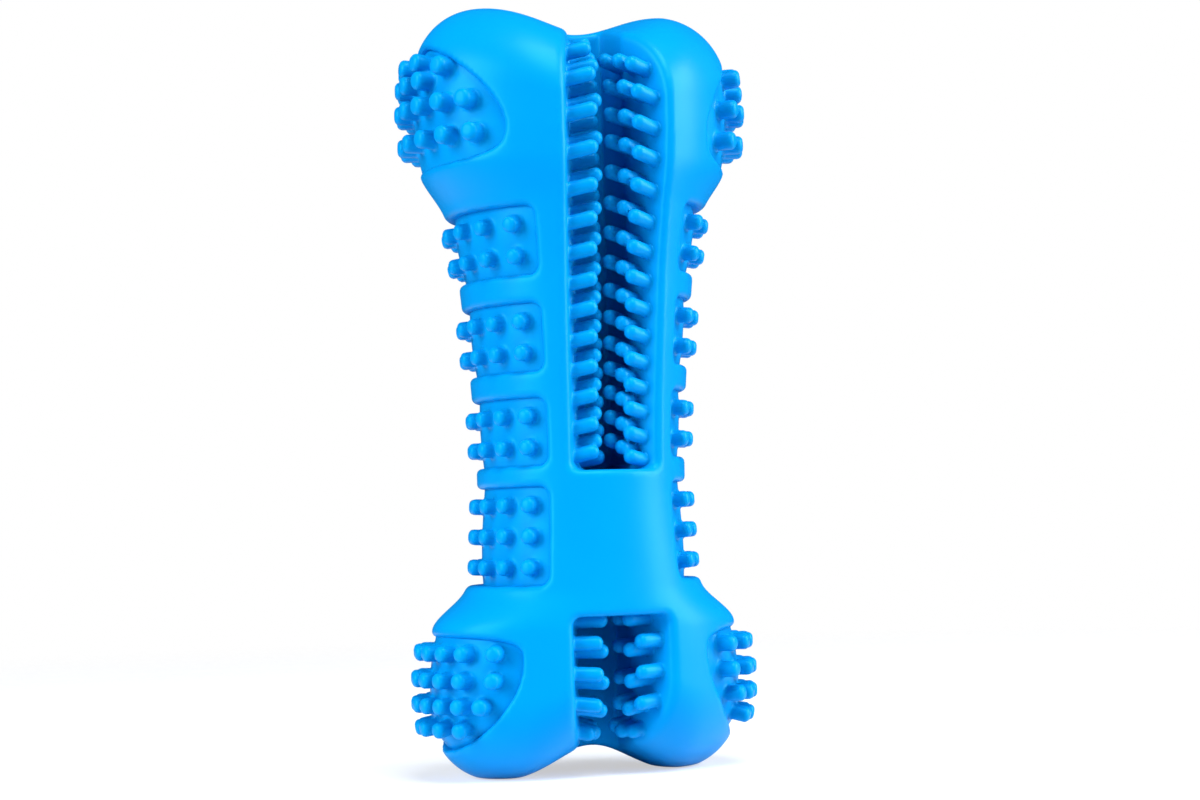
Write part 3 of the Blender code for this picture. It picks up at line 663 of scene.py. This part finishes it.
def surface(field, low, high, step):
    """Mesh of a field's zero surface: one vertex a cell, moved onto the surface."""
    axes = [np.arange(low[i] - step, high[i] + 2 * step, step) for i in range(3)]
    grid = np.meshgrid(*axes, indexing="ij")
    shape = grid[0].shape
    values = field([c.ravel() for c in grid]).reshape(shape)
    inside = values < 0
    cells = tuple(n - 1 for n in shape)
    total = np.zeros(cells + (3,))
    count = np.zeros(cells)
    corners = [(i, j, k) for i in (0, 1) for j in (0, 1) for k in (0, 1)]
    for a in corners:
        for axis in range(3):
            if a[axis]:
                continue
            b = tuple(1 if i == axis else a[i] for i in range(3))
            at_a = tuple(slice(a[i], a[i] + cells[i]) for i in range(3))
            at_b = tuple(slice(b[i], b[i] + cells[i]) for i in range(3))
            crossed = inside[at_a] != inside[at_b]
            va = values[at_a][crossed]
            vb = values[at_b][crossed]
            share = va / (va - vb)
            for i in range(3):
                total[crossed, i] += a[i] + (share if i == axis else 0)
            count[crossed] += 1
    used = count > 0
    number = np.full(cells, -1)
    number[used] = np.arange(used.sum())
    index = np.argwhere(used)
    start = np.array([axes[i][0] for i in range(3)])
    points = start + (index + total[used] / count[used][:, None]) * step
    faces = []
    for axis in range(3):
        b, c = (axis + 1) % 3, (axis + 2) % 3
        first = [slice(1, -1)] * 3
        first[axis] = slice(0, shape[axis] - 1)
        second = list(first)
        second[axis] = slice(1, shape[axis])
        here = inside[tuple(first)]
        change = np.argwhere(here != inside[tuple(second)])
        if len(change) == 0:
            continue
        leaving = here[tuple(change.T)]
        base = change + 1
        base[:, axis] -= 1
        quad = []
        for db, dc in ((0, 0), (-1, 0), (-1, -1), (0, -1)):
            cell = base.copy()
            cell[:, b] += db
            cell[:, c] += dc
            quad.append(number[tuple(cell.T)])
        quad = np.array(quad).T
        quad[~leaving] = quad[~leaving][:, ::-1]
        faces.append(quad)
    faces = np.concatenate(faces)
    for _ in range(PROJECTION_PASSES):
        p = [points[:, i] for i in range(3)]
        slope = np.array(gradient(field, p)).T
        size = np.maximum((slope ** 2).sum(1), 0.25)
        move = slope * (field(p) / size)[:, None]
        points = points - np.clip(move, -step / 2, step / 2)
    return points, faces


def add_mesh(name, points, faces, material):
    mesh = bpy.data.meshes.new(name)
    mesh.from_pydata(points.tolist(), [], faces.tolist())
    mesh.update()
    mesh.shade_smooth()
    mesh.materials.append(material)
    item = bpy.data.objects.new(name, mesh)
    bpy.context.scene.collection.objects.link(item)
    return item


def piece(name, points, faces, material, node):
    item = add_mesh(name, points, faces, material)
    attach(item, "root")
    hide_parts(node)
    return item


def flipped(points, faces, axis):
    turned = points.copy()
    turned[:, axis] *= -1
    return turned, faces[:, ::-1]


def make_body(material):
    reach = TOP_KNOB_WIDTH / 2
    points, faces = surface(body_field, (-reach, -TOP_KNOB_DEPTH / 2, 0),
                            (reach, TOP_KNOB_DEPTH / 2, HEIGHT), BODY_STEP)
    piece("bone_moulding", points, faces, material, "bone_body")


def pad_mesh(pad):
    """Mesh of a pad on the left side."""
    a, b = (float(value) for value in pad.section(np.float64((pad.low + pad.high) / 2)))
    out = KNOB_NUB_LENGTH + PAD_BOX_MARGIN
    low = (-max(a, float(pad.section(np.float64(pad.high))[0])) - out, -b - out, pad.low - out)
    inner = a * math.cos(PAD_HALF_ANGLE) * PAD_BOX_INNER_SHARE
    high = (-inner, b + out, pad.high + out)
    return surface(pad_field(pad, pad_studs(pad)), low, high, DETAIL_STEP)


def make_pads(material):
    knobs = [(pad, pad_mesh(pad)) for pad in KNOB_PADS]
    for side, side_name in ((-1, "left"), (1, "right")):
        for pad, mesh in [(pad, pad_mesh(pad)) for pad in waist_pads(side)] + knobs:
            points, faces = mesh if side < 0 else flipped(*mesh, 0)
            node = "%s_%s" % (pad.name, side_name)
            piece(node + "_skin", points, faces, material, node)


def make_bristles(material):
    for upper, level in ((True, "upper"), (False, "lower")):
        low = BRIDGE_HIGH + STRIP_END_GAP if upper else LOWER_STRIP_LOW
        high = HEIGHT - UPPER_STRIP_TOP_FROM_END if upper else BRIDGE_LOW - STRIP_END_GAP
        for side, side_name in ((-1, "left"), (1, "right")):
            studs = bristle_studs(upper, side)
            left, right = sorted(side * x for x in STRIP_BOX_X)
            mesh = surface(strip_field(studs, side, low, high), (left, STRIP_BOX_Y[0], low),
                           (right, STRIP_BOX_Y[1], high + STRIP_BOX_TOP_MARGIN), DETAIL_STEP)
            for face, (points, faces) in (("front", mesh), ("back", flipped(*mesh, 1))):
                node = "bristles_%s_%s_%s" % (face, level, side_name)
                piece(node + "_soft", points, faces, material, node)


def noise(nodes, links, where, scale, detail):
    texture = nodes.new("ShaderNodeTexNoise")
    texture.inputs["Scale"].default_value = scale
    texture.inputs["Detail"].default_value = detail
    links.new(where.outputs["Object"], texture.inputs["Vector"])
    return texture.outputs["Fac"]


def rubber(name, roughness):
    """Moulded satin rubber: faint cloudiness in colour and gloss over a fine grain."""
    material = bpy.data.materials.new(name)
    material.use_nodes = True
    nodes = material.node_tree.nodes
    links = material.node_tree.links
    shader = nodes["Principled BSDF"]
    where = nodes.new("ShaderNodeTexCoord")
    tint = nodes.new("ShaderNodeMix")
    tint.data_type = "RGBA"
    tint.inputs["A"].default_value = DEEP_AZURE
    tint.inputs["B"].default_value = AZURE
    links.new(noise(nodes, links, where, CLOUD_SCALE, 3), tint.inputs["Factor"])
    links.new(tint.outputs["Result"], shader.inputs["Base Color"])
    gloss = nodes.new("ShaderNodeMapRange")
    gloss.inputs["To Min"].default_value = roughness - 0.04
    gloss.inputs["To Max"].default_value = roughness + 0.05
    links.new(noise(nodes, links, where, SMEAR_SCALE, 4), gloss.inputs["Value"])
    links.new(gloss.outputs["Result"], shader.inputs["Roughness"])
    bump = nodes.new("ShaderNodeBump")
    bump.inputs["Strength"].default_value = GRAIN_STRENGTH
    bump.inputs["Distance"].default_value = GRAIN_DEPTH
    links.new(noise(nodes, links, where, GRAIN_SCALE, 2), bump.inputs["Height"])
    links.new(bump.outputs["Normal"], shader.inputs["Normal"])
    shader.inputs["Specular IOR Level"].default_value = HIGHLIGHT_LEVEL
    shader.inputs["Specular Tint"].default_value = HIGHLIGHT_TINT
    return material


def pale_floor():
    mesh = bpy.data.meshes.new("floor")
    reach = FLOOR_REACH
    corners = [(-reach, -reach, 0), (reach, -reach, 0), (reach, reach, 0), (-reach, reach, 0)]
    mesh.from_pydata(corners, [], [(0, 1, 2, 3)])
    floor = bpy.data.objects.new("floor", mesh)
    bpy.context.scene.collection.objects.link(floor)
    material = bpy.data.materials.new("pale_floor")
    material.use_nodes = True
    nodes = material.node_tree.nodes
    links = material.node_tree.links
    shader = nodes["Principled BSDF"]
    shader.inputs["Base Color"].default_value = FLOOR_COLOUR
    shader.inputs["Roughness"].default_value = FLOOR_ROUGHNESS
    shader.inputs["Specular IOR Level"].default_value = FLOOR_HIGHLIGHT_LEVEL
    path = nodes.new("ShaderNodeLightPath")
    glow = nodes.new("ShaderNodeMath")
    glow.operation = "MULTIPLY"
    glow.inputs[1].default_value = FLOOR_GLOW
    links.new(path.outputs["Is Camera Ray"], glow.inputs[0])
    shader.inputs["Emission Color"].default_value = (1, 1, 1, 1)
    links.new(glow.outputs["Value"], shader.inputs["Emission Strength"])
    where = nodes.new("ShaderNodeTexCoord")
    distance = nodes.new("ShaderNodeVectorMath")
    distance.operation = "LENGTH"
    links.new(where.outputs["Object"], distance.inputs[0])
    fade = nodes.new("ShaderNodeMapRange")
    fade.interpolation_type = "SMOOTHSTEP"
    fade.inputs["From Min"].default_value = FLOOR_FADE_START
    fade.inputs["From Max"].default_value = FLOOR_FADE_END
    links.new(distance.outputs["Value"], fade.inputs["Value"])
    clear = nodes.new("ShaderNodeBsdfTransparent")
    blend = nodes.new("ShaderNodeMixShader")
    links.new(fade.outputs["Result"], blend.inputs["Fac"])
    links.new(shader.outputs["BSDF"], blend.inputs[1])
    links.new(clear.outputs["BSDF"], blend.inputs[2])
    links.new(blend.outputs["Shader"], nodes["Material Output"].inputs["Surface"])
    mesh.materials.append(material)


def sky():
    world = bpy.data.worlds.new("studio")
    bpy.context.scene.world = world
    world.use_nodes = True
    nodes = world.node_tree.nodes
    links = world.node_tree.links
    background = nodes["Background"]
    background.inputs["Color"].default_value = (1, 1, 1, 1)
    path = nodes.new("ShaderNodeLightPath")
    strength = nodes.new("ShaderNodeMapRange")
    strength.inputs["To Min"].default_value = SKY_LIGHT
    strength.inputs["To Max"].default_value = 1.0
    links.new(path.outputs["Is Camera Ray"], strength.inputs["Value"])
    links.new(strength.outputs["Result"], background.inputs["Strength"])


def softbox(name, place, target, width, height, power):
    data = bpy.data.lights.new(name, "AREA")
    data.shape = "RECTANGLE"
    data.size = width
    data.size_y = height
    data.energy = power
    item = bpy.data.objects.new(name, data)
    bpy.context.scene.collection.objects.link(item)
    item.location = place
    item.rotation_euler = (Vector(target) - Vector(place)).to_track_quat("-Z", "Y").to_euler()


def lights():
    middle = (0, 0, HEIGHT / 2)
    for name, place, width, height, power in SOFTBOXES:
        softbox(name, place, middle, width, height, power)


def camera():
    data = bpy.data.cameras.new("camera")
    item = bpy.data.objects.new("camera", data)
    bpy.context.scene.collection.objects.link(item)
    distance = FOCAL_PIXELS / PIXELS_PER_METRE
    data.sensor_width = SENSOR_WIDTH
    data.lens = SENSOR_WIDTH * FOCAL_PIXELS / PHOTO_WIDTH
    data.shift_x = (PHOTO_WIDTH / 2 - AXIS_X) / PHOTO_WIDTH
    data.shift_y = (EYE_Y - PHOTO_HEIGHT / 2) / PHOTO_WIDTH
    data.clip_start = 0.01
    data.clip_end = 50
    ahead = Vector((math.sin(CAMERA_TURN), math.cos(CAMERA_TURN), 0))
    place = Vector((0, 0, EYE_HEIGHT)) - ahead * distance
    level = ahead.to_track_quat("-Z", "Y").to_matrix().to_4x4()
    item.matrix_world = Matrix.Translation(place) @ level @ Matrix.Rotation(-CAMERA_ROLL, 4, "Z")
    bpy.context.scene.camera = item


def main():
    bpy.context.scene.view_settings.view_transform = "Standard"
    camera()
    sky()
    lights()
    pale_floor()
    make_body(rubber("body_rubber", MOULDING_ROUGHNESS))
    make_pads(rubber("pad_rubber", MOULDING_ROUGHNESS))
    make_bristles(rubber("bristle_rubber", BRISTLE_ROUGHNESS))


main()
